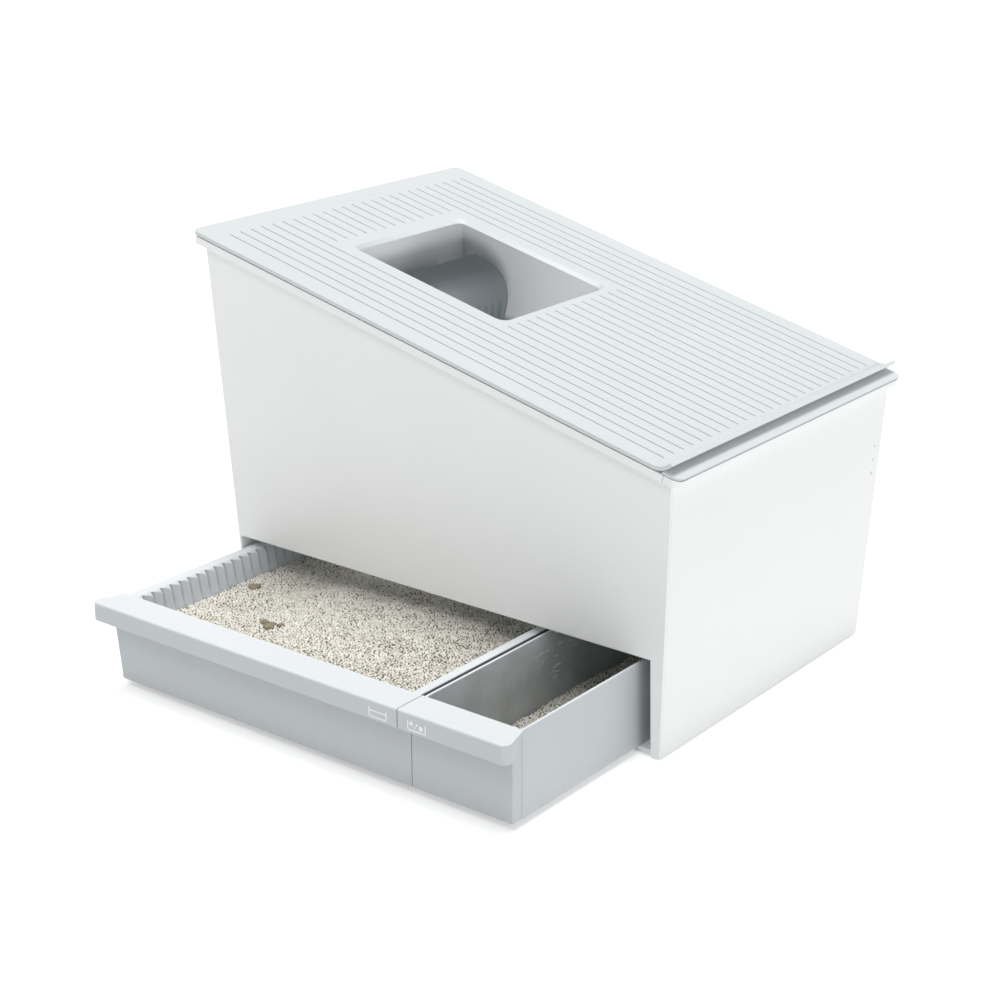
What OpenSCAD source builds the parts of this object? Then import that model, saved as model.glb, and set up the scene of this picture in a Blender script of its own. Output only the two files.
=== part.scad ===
// Self-cleaning litter box: a drafted white housing under a sloping grooved lid,
// with a trough-shaped litter tray and a waste bin that pull out at the front,
// and a ribbed scoop that swings on two arms. Millimetres, +Z up, front at -Y.

/* [Overall] */
// Length over the lid and its ledge
overall_l = 567; // [540:1:600]
// Width over the lid at its high end
overall_w = 410; // [390:1:430]
// Height of the lid's high edge above the ground
overall_h = 416; // [405:1:440]
// Slope of the lid in degrees
lid_slope = 13.6; // [11:0.1:15]
// Outward lean of the four walls in degrees
draft = 2.6; // [1.5:0.1:3.2]

/* [Housing] */
// Thickness of the wall panels
wall_t = 3; // [2:0.1:4]
// Overhang of the lid past the front and back walls
side_over = 5; // [4:0.5:8]
// Overhang of the lid past the two end walls
end_over = 12; // [11:0.5:15]
// Height of the rim under the lid
rim_h = 7; // [5:0.5:10]
// Air between the rim and the lid
rim_gap = 1.5; // [1.2:0.1:3]
// Thickness of the floor plate
floor_t = 5; // [4:0.5:8]
// Height that the rubber feet lift the floor plate
foot_h = 2; // [1:0.5:4]
// Air between the drawers' rims and the top of their opening
opening_gap = 8; // [6:0.5:12]
// Width of the front wall's foot beside the opening, at the high end
post_high = 3; // [2.5:0.1:6]
// Width of that foot at the low end
post_low = 9.6; // [8:0.1:14]
// Width of the rim's parting slit
slit = 0.6; // [0.4:0.1:1]
// Width of the ledge beyond the lid's lip
ledge_w = 19; // [16:1:20]

/* [Lid] */
// Thickness of the lid plate
lid_t = 3.5; // [3:0.1:5]
// Length of the cat's entry, along the slope
entry_l = 196; // [170:1:210]
// Width of the cat's entry
entry_w = 172; // [150:1:190]
// Distance of the entry from the lid's high edge, along the slope
entry_u = 104; // [90:1:120]
// Corner radius of the entry
entry_r = 11; // [9:1:25]
// Depth of the collar round the entry
collar_h = 3.5; // [2:0.5:12]
// Number of grooves across the lid
groove_n = 25; // [15:2:31]
// Spacing of the grooves
groove_pitch = 14.9; // [12:0.1:15]
// Width of a groove
groove_w = 1.2; // [0.8:0.1:2]
// Depth of a groove
groove_d = 0.9; // [0.4:0.1:1.5]
// Distance of the lip's root from the low edge, along the slope
lip_back = 28; // [27:1:34]
// Inner radius of the turned-up lip
lip_r = 18; // [14:1:20]
// Angle through which the lip turns up
lip_turn = 60; // [45:1:65]
// Diameter of the two hinge pins
hinge_d = 4; // [3:0.5:5]

/* [Drawers] */
// How far the drawers stand out of the housing
pull = 180; // [0:1:260]
// Outer length of the waste bin
bin_w = 109; // [90:1:112]
// Air between the tray and the bin
seam = 0.8; // [0.6:0.1:2]
// Room beyond the trough's high rim for the parked scoop
park_room = 45; // [40:0.5:47]
// Distance from the tray's high side to the scoop's sweep at rim level
sweep_in = 35.5; // [30:0.1:40]
// Lean of the tray's fluted high wall in degrees
tray_lean = 10; // [5:0.5:20]
// Radius of the tray's rim where it turns down into the fluted wall
rim_roll = 9; // [7:0.5:12]
// Width of the tray's rim beside the waste bin
tray_edge = 10.5; // [8:0.5:13]
// Radius of the roll along the tray's outer rim
tray_roll = 10; // [6:0.5:11]
// Thickness of the tray's moulding
tray_t = 3.2; // [2.5:0.1:4]
// Thickness of the bin's walls
bin_t = 2.6; // [2:0.1:4]
// Spacing of the high wall's flutes and of the scoop's ribs
flute_pitch = 12; // [10:0.5:15]
// Depth of a flute at its deep edge
flute_h = 3; // [2:0.1:3.5]
// Height of the lip on the drawer fronts
front_lip_h = 18; // [14:1:24]
// How far the lip stands out from the front panel
front_lip_out = 19; // [16:1:24]
// Thickness of the drawers' front panels
panel_t = 3; // [2:0.1:4]
// Depth of the litter's edge below the tray's rim
litter_drop = 26; // [18:1:40]

/* [Scoop and drive] */
// Depth of the scoop's bowl
scoop_a = 58; // [40:1:62]
// Half height of the scoop's bowl
scoop_b = 58; // [45:1:60]
// Thickness of the scoop's shell
scoop_t = 3; // [2:0.1:4]
// Angle of the parked scoop above level
park_angle = 17; // [10:0.1:18]
// Diameter of the two stub axles
axle_d = 10; // [8:0.5:12]
// Module of the gear teeth
gear_m = 2; // [1.5:0.1:2.2]
// Teeth of the gear on the swing arm
swing_teeth = 54; // [48:1:60]
// Teeth of the drive pinion
pinion_teeth = 14; // [12:1:18]
// Angle of the pinion about the swing axis
pinion_angle = 40; // [30:1:60]

/* [Hidden] */
$fn = 64;
slide_gap = 0.3;      // air under and beside a drawer
turn_gap = 0.05;      // radial air round a turning pin
part_gap = 0.5;       // air between parts that pass each other
draft_k = tan(draft);
slope_l = overall_l / cos(lid_slope);
low_h = overall_h - overall_l * tan(lid_slope);

// lid, rim and wall levels, measured square to the slope
rim_top_w = -lid_t - rim_gap;
wall_drop = (lid_t + rim_gap + rim_h / 2) / cos(lid_slope);
hinge_u = 6;
hinge_knuckle_r = hinge_d / 2 + 2.2;
hinge_w = -lid_t - hinge_knuckle_r - part_gap;
hinge_half = overall_w / 2 - 85;
knuckle_l = 20;
lug_t = 6;
rim_u = hinge_u + hinge_knuckle_r + 1.2;

// drawer places, with both drawers closed
floor_z = foot_h + floor_t;
tray_z = floor_z + slide_gap;
guide_w = 5;
guide_h = 8;
guide_room = 9;
guide_in = 12;
opening_x1 = low_x(0) - post_low;
tray_x0 = high_x(tray_z) + wall_t / cos(draft) + slide_gap;
bin_x1 = opening_x1 - guide_room - guide_w - slide_gap;
bin_x0 = bin_x1 - bin_w;
tray_x1 = bin_x0 - seam;
tray_w = tray_x1 - tray_x0;
rear_gap = 7.4;
front_gap = 4.5;
tray_y1 = side_in(tray_z) - rear_gap;
tray_y0 = front_gap - side_in(tray_z);
tray_d = tray_y1 - tray_y0;
flange_t = 4;
bin_in = 2.2;
panel_y = tray_y0 - 12;
lip_y = panel_y - front_lip_out;
lip_flare = 8;

// the trough's low half is an arc about the axis that the scoop swings on
trough_half = (tray_w - tray_edge - sweep_in) / 2;
trough_r = trough_half + park_room;
trough_z = tray_z + tray_t;
swing_x = tray_x1 - tray_edge - trough_half;
swing_z = trough_z + trough_r;
tray_rim_h = swing_z - sqrt(pow(trough_r, 2) - pow(trough_half, 2));
opening_h = tray_rim_h + opening_gap;
litter_h = tray_rim_h - litter_drop;

// scoop, arms and drive, front to back
sweep_gap = 3;
scoop_r = sqrt(pow(trough_r - sweep_gap, 2) - pow(scoop_b, 2));
arm_t = 4;
arm_y = tray_y1 - tray_t - 3 - arm_t;
cap_t = 3;
scoop_half = arm_y - cap_t;
hub_r = axle_d / 2 + 8;
gear_face = 6;
gear_y = arm_y + arm_t + 2;
hub_end = gear_y + gear_face + 2;
gear_bore_r = hub_r;
rib_out = 4;
rib_drop = 8;
rib_top = 36;
rib_w = 5;
centre_dist = gear_m * (swing_teeth + pinion_teeth) / 2 + 0.1;
pinion_x = swing_x + centre_dist * cos(pinion_angle);
pinion_z = swing_z + centre_dist * sin(pinion_angle);
pinion_shaft_d = 6;
plate_t = 2;
plate_y = arm_y + arm_t - plate_t;
gearbox_r = 20;
gearbox_l = 24;
can_r = 16;
can_l = 38;
cover_t = 2;
cover_gap = 3;

// colours
white = [0.93, 0.94, 0.94];
lid_grey = [0.86, 0.89, 0.90];
drawer_grey = [0.78, 0.80, 0.82];
scoop_grey = [0.50, 0.53, 0.55];
dark = [0.15, 0.15, 0.16];
steel = [0.72, 0.73, 0.75];
litter_col = [0.80, 0.77, 0.70];

// Node to draw

// Outer half width over the front and back walls at height z
function side_y(z) = overall_w / 2 - side_over - draft_k * (overall_h - z);
// Inner half width between them
function side_in(z) = side_y(z) - wall_t / cos(draft);
// Outer face of the high end wall at height z
function high_x(z) = -overall_l / 2 + end_over + draft_k * (overall_h - z);
// Outer face of the low end wall at height z
function low_x(z) = overall_l / 2 - end_over - draft_k * (low_h - z);
// Height of the wall tops at x
function wall_top(x) = overall_h - wall_drop - tan(lid_slope) * (x + overall_l / 2);
// Half width of the lid's outline at distance u down the slope
function half_u(u) = overall_w / 2 - draft_k * sin(lid_slope) * u;

// Heights where the sloping wall top meets the two leaning end walls
high_top = (overall_h - wall_drop - tan(lid_slope) * (end_over + draft_k * overall_h))
           / (1 - tan(lid_slope) * draft_k);
low_top = (overall_h - wall_drop - tan(lid_slope) * (overall_l - end_over - draft_k * low_h))
          / (1 + tan(lid_slope) * draft_k);

// Points of an arc round c
function arc(c, r, a0, a1, n = 8) =
    [for (i = [0:n]) c + r * [cos(a0 + (a1 - a0) * i / n), sin(a0 + (a1 - a0) * i / n)]];

// Rounded rectangle from lo to hi
function round_rect(lo, hi, r) =
    concat(arc([lo.x + r, lo.y + r], r, 180, 270), arc([hi.x - r, lo.y + r], r, 270, 360),
           arc([hi.x - r, hi.y - r], r, 0, 90), arc([lo.x + r, hi.y - r], r, 90, 180));

// The lid's outline between u0 and u1, drawn in by inset, with end radii ra and rb
function slope_outline(u0, u1, inset, ra, rb) =
    let (t = atan(draft_k * sin(lid_slope)),
         va = half_u(u0 + ra) - (inset + ra) / cos(t),
         vb = half_u(u1 - rb) - (inset + rb) / cos(t))
    concat(arc([u0 + ra, -va], ra, 180, 270 + t), arc([u1 - rb, -vb], rb, 270 + t, 360),
           arc([u1 - rb, vb], rb, 0, 90 - t), arc([u0 + ra, va], ra, 90 - t, 180));

// Frame on the lid: x down the slope from the high edge, z square to it
module on_slope() translate([-overall_l / 2, 0, overall_h]) rotate([0, lid_slope, 0]) children();

// Frame in the outer face of the front wall: x along it, y up it, z outwards
module on_front() translate([0, -side_y(0), 0]) rotate([90 + draft, 0, 0]) children();

// Frames in the outer faces of the end walls
module on_high_end() translate([high_x(0), 0, 0]) rotate([90 + draft, 0, -90]) children();
module on_low_end() translate([low_x(0), 0, 0]) rotate([90 + draft, 0, 90]) children();

// Extrusion along +Y of a profile drawn in x and z, from y0 to y1
module along_y(y0, y1) translate([0, y1, 0]) rotate([90, 0, 0]) linear_extrude(y1 - y0) children();

// Frame of the swinging parts: its -X points from the swing axis to the scoop
module on_swing() translate([swing_x, 0, swing_z]) rotate([0, park_angle, 0]) children();

// Places its children where the drawers stand
module drawn_out() translate([0, -pull, 0]) children();

// Copies its children to the front and the back
module both_sides() { children(); mirror([0, 1, 0]) children(); }

// Space between the leaning front and back walls
module inside_walls()
    translate([-overall_l, 0, 0]) rotate([90, 0, 90]) linear_extrude(2 * overall_l)
        polygon([[-side_in(0), 0], [side_in(0), 0], [side_in(overall_h), overall_h],
                 [-side_in(overall_h), overall_h]]);

// Plain panel of a long wall, with the drawer opening where it has one
module side_panel(opening) {
    s = 1 / cos(draft);
    low = [[high_x(foot_h), foot_h * s]];
    gap = [[high_x(foot_h) + post_high, foot_h * s], [high_x(opening_h) + post_high, opening_h * s],
           [opening_x1, opening_h * s], [opening_x1, foot_h * s]];
    top = [[low_x(foot_h), foot_h * s], [low_x(low_top), low_top * s],
           [high_x(high_top), high_top * s]];
    on_front() translate([0, 0, -wall_t]) linear_extrude(wall_t)
        polygon(concat(low, opening ? gap : [], top));
}

// Plain panel of an end wall, held between the two long walls
module end_panel(top) {
    s = 1 / cos(draft);
    fit = 0.05;
    b = side_in(foot_h) - fit;
    t = side_in(top) - fit;
    translate([0, 0, -wall_t]) linear_extrude(wall_t)
        polygon([[-b, foot_h * s], [b, foot_h * s], [t, top * s], [-t, top * s]]);
}

module high_end_panel() on_high_end() end_panel(high_top - 1);
module low_end_panel() on_low_end() end_panel(low_top - 2);

// One rim round the wall tops, notched for the hinges, before it is parted at the low end
rim_end = 3.4;
notch_l = knuckle_l + 2 * lug_t + 4 * slide_gap + 1;
module rim_ring() {
    inner = side_over + wall_t + 4;
    on_slope() translate([0, 0, rim_top_w - rim_h]) linear_extrude(rim_h) difference() {
        polygon(slope_outline(rim_end, slope_l - 0.5, 0.6, 6, 9));
        polygon(slope_outline(end_over + wall_t + 5, slope_l - end_over - wall_t - 6, inner, 3, 3));
        for (v = [-hinge_half, hinge_half]) translate([-1, v - notch_l / 2]) square([rim_u + 1, notch_l]);
    }
}

module wall_tops() {
    side_panel(true);
    mirror([0, 1, 0]) side_panel(false);
    high_end_panel();
    low_end_panel();
}

rim_part_u = slope_l - end_over - wall_t - 2;

foot_d = 18;
foot_in = 2;
foot_end = 83.5;
foot_side = 55;
foot_at = concat([[0, 0]], [for (i = [-1:1], j = [-1, 1])
                     [i * (overall_l / 2 - foot_end), j * (overall_w / 2 - foot_side)]]);
guide_l = tray_d - 45;
screw_x = [tray_x0 + guide_in + guide_w / 2, bin_x1 + slide_gap + guide_w / 2];
screw_y = [for (i = [-1:1]) i * 0.4 * guide_l];
screw_d = 2.5;
screw_head_d = 5.5;
screw_head_h = 2;

// Floor plate between the walls, with pockets for the feet
module base_plate() color(white) difference() {
    fit = 0.05;
    x0 = high_x(foot_h) + wall_t / cos(draft) + fit + floor_t * draft_k;
    x1 = low_x(foot_h) - wall_t / cos(draft) - fit;
    y1 = side_in(foot_h) - fit;
    translate([x0, -y1, foot_h]) cube([x1 - x0, 2 * y1, floor_t]);
    for (p = foot_at)
        translate([p.x, p.y, foot_h - 1]) cylinder(d = foot_d, h = foot_in + 1);
    for (x = screw_x, y = screw_y) {
        translate([x, y, foot_h - 1]) cylinder(d = screw_d + 0.1, h = floor_t + 2);
        translate([x, y, foot_h - 1]) cylinder(d = screw_head_d + 0.2, h = screw_head_h + 1.1);
    }
}

module front_wall() color(white) side_panel(true);

// Back wall, bored for the power inlet
inlet_d = 12;
inlet_x = overall_l / 2 - 78.5;
inlet_z = low_h - 129;
module at_inlet()
    translate([inlet_x, side_y(inlet_z), inlet_z]) rotate([90 - draft, 0, 0]) children();
module back_wall() color(white) difference() {
    mirror([0, 1, 0]) side_panel(false);
    at_inlet() translate([0, 0, -10]) cylinder(d = inlet_d + 0.1, h = 30);
}

module high_end_wall() color(white) high_end_panel();

// Low end wall, bored for three indicator lenses near its back edge
lens_d = 3;
lens_pitch = 14;
lens_z = [for (i = [0:2]) low_h - 101 + i * lens_pitch];
lens_back = 9;
module at_lenses() on_low_end() for (z = lens_z)
    translate([side_in(z) - lens_back, z / cos(draft), 0]) children();
module low_end_wall() color(white) difference() {
    low_end_panel();
    at_lenses() translate([0, 0, -wall_t - 1]) cylinder(d = lens_d + 0.1, h = wall_t + 2);
}

// White rim that ties the wall tops together, open at the low end
module top_rim() color(white) difference() {
    rim_ring();
    wall_tops();
    on_slope() translate([rim_part_u, -overall_w, -50]) cube([200, 2 * overall_w, 100]);
}

// End piece of the rim, parted from the rest by a slit
module low_end_rim() color(white) difference() {
    rim_ring();
    wall_tops();
    on_slope() translate([rim_part_u + slit - 900, -overall_w, -50])
        cube([900, 2 * overall_w, 100]);
}

// Grey ledge on the rim's low end, under the lid's lip, stepped in below for a shadow line
ledge_t = 3;
shadow_h = 1;
shadow_in = 1.6;
lid_flat_u = slope_l - lip_back;
module rest_ledge() color(lid_grey)
    on_slope() translate([0, 0, rim_top_w]) {
        linear_extrude(ledge_t / 2)
            polygon(slope_outline(slope_l - ledge_w, slope_l - shadow_in,
                                  0.6 + shadow_in, 1, 9 - shadow_in));
        translate([0, 0, shadow_h]) linear_extrude(ledge_t - shadow_h)
            polygon(slope_outline(slope_l - ledge_w, slope_l, 0.6, 1, 9));
    }

// Rubber feet pressed into the floor plate
module rubber_feet() color(dark) for (p = foot_at)
    translate([p.x, p.y, 0]) cylinder(d = foot_d, h = foot_h + foot_in);

// Two strips that guide the drawers, one inside the tray's skirt and one beside the bin
module drawer_guides() color(drawer_grey) difference() {
    for (x = screw_x)
        translate([x - guide_w / 2, -guide_l / 2, floor_z]) cube([guide_w, guide_l, guide_h]);
    for (x = screw_x, y = screw_y) translate([x, y, floor_z - 1]) cylinder(d = screw_d, h = 6);
}

// Screws from under the floor plate into the guides
module floor_screws() color(steel) for (x = screw_x, y = screw_y) translate([x, y, foot_h]) {
    cylinder(d = screw_head_d, h = screw_head_h);
    cylinder(d = screw_d, h = floor_t + 4.5);
}

// Frame on the lid's hinge axis, turned so that z runs along +Y
module at_hinge(v) on_slope() translate([hinge_u, v, hinge_w]) rotate([-90, 0, 0]) children();

// Two pairs of lugs behind the high end, standing on the rim
module hinge_lugs() color(white) for (v = [-hinge_half, hinge_half], side = [-1, 1])
    at_hinge(v + side * (knuckle_l + lug_t + 2 * slide_gap) / 2)
        translate([0, 0, -lug_t / 2]) difference() {
            web = hinge_w + hinge_knuckle_r - rim_top_w + rim_h;
            union() {
                cylinder(r = hinge_knuckle_r, h = lug_t);
                translate([0, -hinge_knuckle_r, 0]) cube([rim_u - hinge_u, web, lug_t]);
            }
            translate([0, 0, -1]) cylinder(d = hinge_d + 0.04, h = lug_t + 2);
        }

module hinge_pins() color(steel) for (v = [-hinge_half, hinge_half]) {
    l = knuckle_l + 2 * (lug_t + slide_gap);
    at_hinge(v) translate([0, 0, -l / 2]) cylinder(d = hinge_d, h = l);
}

// Discs on the long walls that carry the stub axles
module bearing_plates() color(white) both_sides() difference() {
    intersection() {
        along_y(hub_end + part_gap, overall_w / 2)
            translate([swing_x, swing_z]) circle(r = hub_r + 10);
        inside_walls();
    }
    along_y(0, overall_w / 2) translate([swing_x, swing_z]) circle(d = axle_d + 0.04);
}

module stub_axles() color(steel) both_sides() intersection() {
    along_y(arm_y + 0.3, overall_w / 2) translate([swing_x, swing_z]) circle(d = axle_d);
    inside_walls();
}

// Three posts that hold the motor plate off the back wall
post_r = 4;
post_at = [for (turn = [-75, 0, 75]) let (a = pinion_angle + turn)
              [pinion_x, pinion_z] + 27 * [cos(a), sin(a)]];
module motor_posts() color(steel) intersection() {
    for (p = post_at) along_y(plate_y + plate_t, overall_w / 2) translate(p) circle(r = post_r);
    inside_walls();
}

// Frame on the pinion's axis
module at_pinion() translate([pinion_x, 0, pinion_z]) children();

// Plate that carries the gear motor, with a hole for its shaft
cover_half = gearbox_r + cover_gap + cover_t;
plate_half = cover_half + 6;
module motor_plate() color(steel) at_pinion() along_y(plate_y, plate_y + plate_t) difference() {
    polygon(round_rect(-plate_half * [1, 1], plate_half * [1, 1], 8));
    circle(d = pinion_shaft_d + 1);
}

// Round reduction gearbox with its output bore
module gearbox() color(steel) at_pinion() difference() {
    along_y(plate_y - gearbox_l, plate_y) circle(r = gearbox_r);
    along_y(plate_y - 10, plate_y + 1) circle(d = pinion_shaft_d + 2 * turn_gap);
}

module motor_can() color(steel) at_pinion() {
    y1 = plate_y - gearbox_l;
    along_y(y1 - can_l, y1) circle(r = can_r);
    along_y(y1 - can_l - 2, y1 - can_l) circle(r = 6);
}

// Cup-shaped cover over the motor, standing on the motor plate
module drive_cover() color(white) at_pinion() difference() {
    y0 = plate_y - gearbox_l - can_l - 2 - cover_gap - cover_t;
    out = cover_half * [1, 1];
    in = out - cover_t * [1, 1];
    along_y(y0, plate_y) polygon(round_rect(-out, out, 10));
    along_y(y0 + cover_t, plate_y + 1) polygon(round_rect(-in, in, 8));
}

// Low-voltage socket in the back wall, for a plug with a 5.5 mm barrel
plug_d = 5.6;
module power_inlet() color(dark) at_inlet() difference() {
    union() {
        translate([0, 0, -1.5]) cylinder(d = inlet_d + 4, h = 1.5);
        cylinder(d = inlet_d, h = 14);
    }
    translate([0, 0, -2]) cylinder(d = plug_d, h = 10);
}

// Circuit board behind the lenses, on two ribs of its own spacer frame
board_t = 1.6;
spacer_t = 4;
module control_board() color([0.12, 0.35, 0.22]) {
    s = 1 / cos(draft);
    y1 = side_in(lens_z[0]) - 3;
    on_low_end() translate([0, (lens_z[0] - 12) * s, -wall_t - spacer_t]) {
        translate([y1 - 46, 0, -board_t]) cube([46, 52, board_t]);
        for (y = [y1 - 46, y1 - 4]) translate([y, 0, 0]) cube([4, 52, spacer_t]);
    }
}

module indicator_lenses() color([0.75, 0.78, 0.8]) at_lenses()
    translate([0, 0, -wall_t]) cylinder(d = lens_d, h = wall_t + 0.2);

// Switch on the back wall that the closed tray stands before
switch_x = swing_x - 10;
switch_z = tray_rim_h - 42;
module interlock_switch() color(dark) intersection() {
    translate([switch_x - 10, tray_y1 + 1.2, switch_z]) cube([20, 30, 10]);
    inside_walls();
}

// Lid plate with its grooves, collared entry, turned-up lip and hinge knuckles
groove_u0 = 26;
groove_u1 = lid_flat_u - 2.5;
module grooves() for (i = [0:groove_n - 1]) {
    v = (i - (groove_n - 1) / 2) * groove_pitch;
    near_entry = abs(v) < entry_w / 2 + 0.4 * groove_pitch;
    above = [groove_u0, entry_u - 16];
    below = [entry_u + entry_l + 8, groove_u1];
    for (s = near_entry ? [above, below] : [[groove_u0, groove_u1]])
        translate([s[0], v - groove_w / 2, -groove_d])
            cube([s[1] - s[0], groove_w, groove_d + 1]);
}
entry_lo = [entry_u, -entry_w / 2];
entry_hi = [entry_u + entry_l, entry_w / 2];
module entry_cut() {
    d = [4, 4];
    hull() {
        linear_extrude(1) polygon(round_rect(entry_lo, entry_hi, entry_r));
        translate([0, 0, -collar_h - 0.1]) linear_extrude(0.1)
            polygon(round_rect(entry_lo + d, entry_hi - d, entry_r - 3));
    }
}
lip_half = half_u(lid_flat_u) - 0.2;
module lid() color(lid_grey) {
    on_slope() difference() {
        union() {
            translate([0, 0, -lid_t]) linear_extrude(lid_t)
                polygon(slope_outline(0, lid_flat_u, 0, 9, 0.5));
            translate([0, 0, -collar_h]) linear_extrude(collar_h)
                polygon(round_rect(entry_lo - [3, 3], entry_hi + [3, 3], entry_r + 3));
            translate([lid_flat_u - 1, 0, lip_r]) rotate([90, 0, 0]) rotate([0, 0, -90])
                rotate_extrude(angle = lip_turn)
                    translate([lip_r, -lip_half]) square([lid_t, 2 * lip_half]);
            for (v = [-hinge_half, hinge_half]) {
                translate([hinge_u, v + knuckle_l / 2, hinge_w]) rotate([90, 0, 0])
                    cylinder(r = hinge_knuckle_r, h = knuckle_l);
                translate([hinge_u - hinge_knuckle_r, v - knuckle_l / 2, hinge_w])
                    cube([2 * hinge_knuckle_r, knuckle_l, -hinge_w - lid_t / 2]);
            }
        }
        grooves();
        entry_cut();
        for (v = [-hinge_half, hinge_half])
            translate([hinge_u, v + knuckle_l / 2 + 1, hinge_w]) rotate([90, 0, 0])
                cylinder(d = hinge_d + 2 * turn_gap, h = knuckle_l + 2);
    }
}

// Soft pads under the lid, just clear of the rim
pad_d = 8;
module lid_bumpers() color(dark) on_slope() for (u = [60, slope_l / 2, slope_l - 63], side = [-1, 1])
    translate([u, side * (half_u(u) - side_over - 4), rim_top_w + slide_gap])
        cylinder(d = pad_d, h = rim_gap - slide_gap);

// Outline of the scoop's bowl as a half superellipse, bulging towards the swing axis
function bowl(a, b, n = 28, p = 3.2) =
    [for (i = [0:n]) let (t = -90 + 180 * i / n)
        [a * pow(cos(t), 2 / p), b * sign(sin(t)) * pow(abs(sin(t)), 2 / p)]];
module at_bowl() translate([-scoop_r, 0]) children();

// A swing arm from its hub to the scoop's end cap
module arm_plate() {
    reach = scoop_r - scoop_a + 22;
    difference() {
        union() {
            circle(r = hub_r + 3);
            polygon([[0, hub_r], [-reach, -4], [-reach - 8, -10], [-reach - 8, -22],
                     [-reach, -28], [0, -hub_r]]);
        }
        circle(d = axle_d + 2 * turn_gap);
        for (p = arm_screw_at) translate(p) circle(d = screw_d + 0.1);
    }
}
arm_screw_at = [[-scoop_r + scoop_a - 12, -11], [-scoop_r + scoop_a - 12, -21]];
module arm_hub(len) along_y(arm_y + arm_t, arm_y + arm_t + len) difference() {
    circle(r = hub_r);
    circle(d = axle_d + 2 * turn_gap);
}
module front_arm() color(scoop_grey) on_swing() mirror([0, 1, 0]) {
    along_y(arm_y, arm_y + arm_t) arm_plate();
    arm_hub(hub_end - arm_y - arm_t);
}
module back_arm() color(scoop_grey) on_swing() {
    along_y(arm_y, arm_y + arm_t) arm_plate();
    arm_hub(hub_end - arm_y - arm_t);
}

// Involute gear outline: half tooth angle at radius r, then the points of all teeth
function inv(a) = tan(a) * 180 / PI - a;
function tooth_half(m, z, r) =
    let (base = m * z / 2 * cos(20), a = r > base ? acos(base / r) : 0)
    90 / z - 0.1 / (m * z) * 180 / PI + inv(20) - inv(a);
function gear_points(m, z) =
    let (root = m * (z / 2 - 1.25), tip = m * (z / 2 + 1), base = m * z / 2 * cos(20),
         foot = max(root + 0.05, base), radii = [for (i = [0:4]) foot + (tip - foot) * i / 4],
         up = concat([root], radii))
    [for (k = [0:z - 1], side = [-1, 1], i = [0:5])
        let (r = up[side < 0 ? i : 5 - i], a = 360 * k / z + side * tooth_half(m, z, max(r, foot)))
        r * [cos(a), sin(a)]];

// Gear on the back arm's hub, one tooth pointing at the pinion
module swing_gear() color(steel) translate([swing_x, 0, swing_z])
    along_y(gear_y, gear_y + gear_face) difference() {
        rotate(pinion_angle) polygon(gear_points(gear_m, swing_teeth));
        circle(r = gear_bore_r);
        for (a = [0:60:300]) rotate(a + 30) translate([gear_m * swing_teeth * 0.32, 0]) circle(r = 9);
    }

// Pinion and its shaft, one gap facing the gear
module drive_pinion() color(steel) at_pinion() {
    along_y(gear_y, gear_y + gear_face)
        rotate(pinion_angle + 180 + 180 / pinion_teeth) polygon(gear_points(gear_m, pinion_teeth));
    along_y(plate_y - 9, gear_y + gear_face + 2) circle(d = pinion_shaft_d);
}

// Bowl-shaped scoop with ribs that comb the litter
rib_n = floor((2 * scoop_half - rib_w) / flute_pitch);
module rib_profile() difference() {
    intersection() {
        translate([0, -rib_drop]) polygon(bowl(scoop_a + rib_out, scoop_b));
        translate([0.5, -2 * scoop_b]) square([scoop_a * 2, 2 * scoop_b + rib_top]);
    }
    polygon(bowl(scoop_a - scoop_t / 2, scoop_b - scoop_t / 2));
}
module scoop_shell() color(scoop_grey) on_swing() {
    along_y(-scoop_half, scoop_half) at_bowl() difference() {
        polygon(bowl(scoop_a, scoop_b));
        polygon(bowl(scoop_a - scoop_t, scoop_b - scoop_t));
    }
    for (i = [0:rib_n]) {
        y = (i - rib_n / 2) * flute_pitch;
        along_y(y - rib_w / 2, y + rib_w / 2) at_bowl() rib_profile();
    }
}
module scoop_end_caps() color(scoop_grey) on_swing() both_sides()
    along_y(scoop_half, scoop_half + cap_t) difference() {
        at_bowl() polygon(bowl(scoop_a, scoop_b));
        for (p = arm_screw_at) translate(p) circle(d = screw_d);
    }

module arm_screws() color(steel) on_swing() both_sides() for (p = arm_screw_at) {
    along_y(scoop_half + 0.5, arm_y + arm_t) translate(p) circle(d = screw_d);
    along_y(arm_y + arm_t, arm_y + arm_t + 1.6) translate(p) circle(d = screw_head_d);
}

// Litter tray: a steep fluted wall with a round foot at the high side, and an arc at the low side
flute_n = floor((tray_d - 2 * tray_t - 4) / flute_pitch);
flute_y = (tray_y0 + tray_y1 - flute_n * flute_pitch) / 2;
flute_turn = 55;
shell_t = 5.5;
wall_h = 18;
floor_run = 26;
rim_c = [tray_x0 + tray_roll + 2, tray_rim_h - rim_roll];
lean_out = [cos(tray_lean), sin(tray_lean)];
lean_down = [sin(tray_lean), -cos(tray_lean)];
wall_top_at = rim_c + rim_roll * lean_out;
wall_foot = wall_top_at + (wall_top_at.y - tray_rim_h + wall_h) / cos(tray_lean) * lean_down;
foot_r = (wall_foot.y - trough_z) / (1 - sin(tray_lean));
foot_c = wall_foot + foot_r * lean_out;
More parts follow.
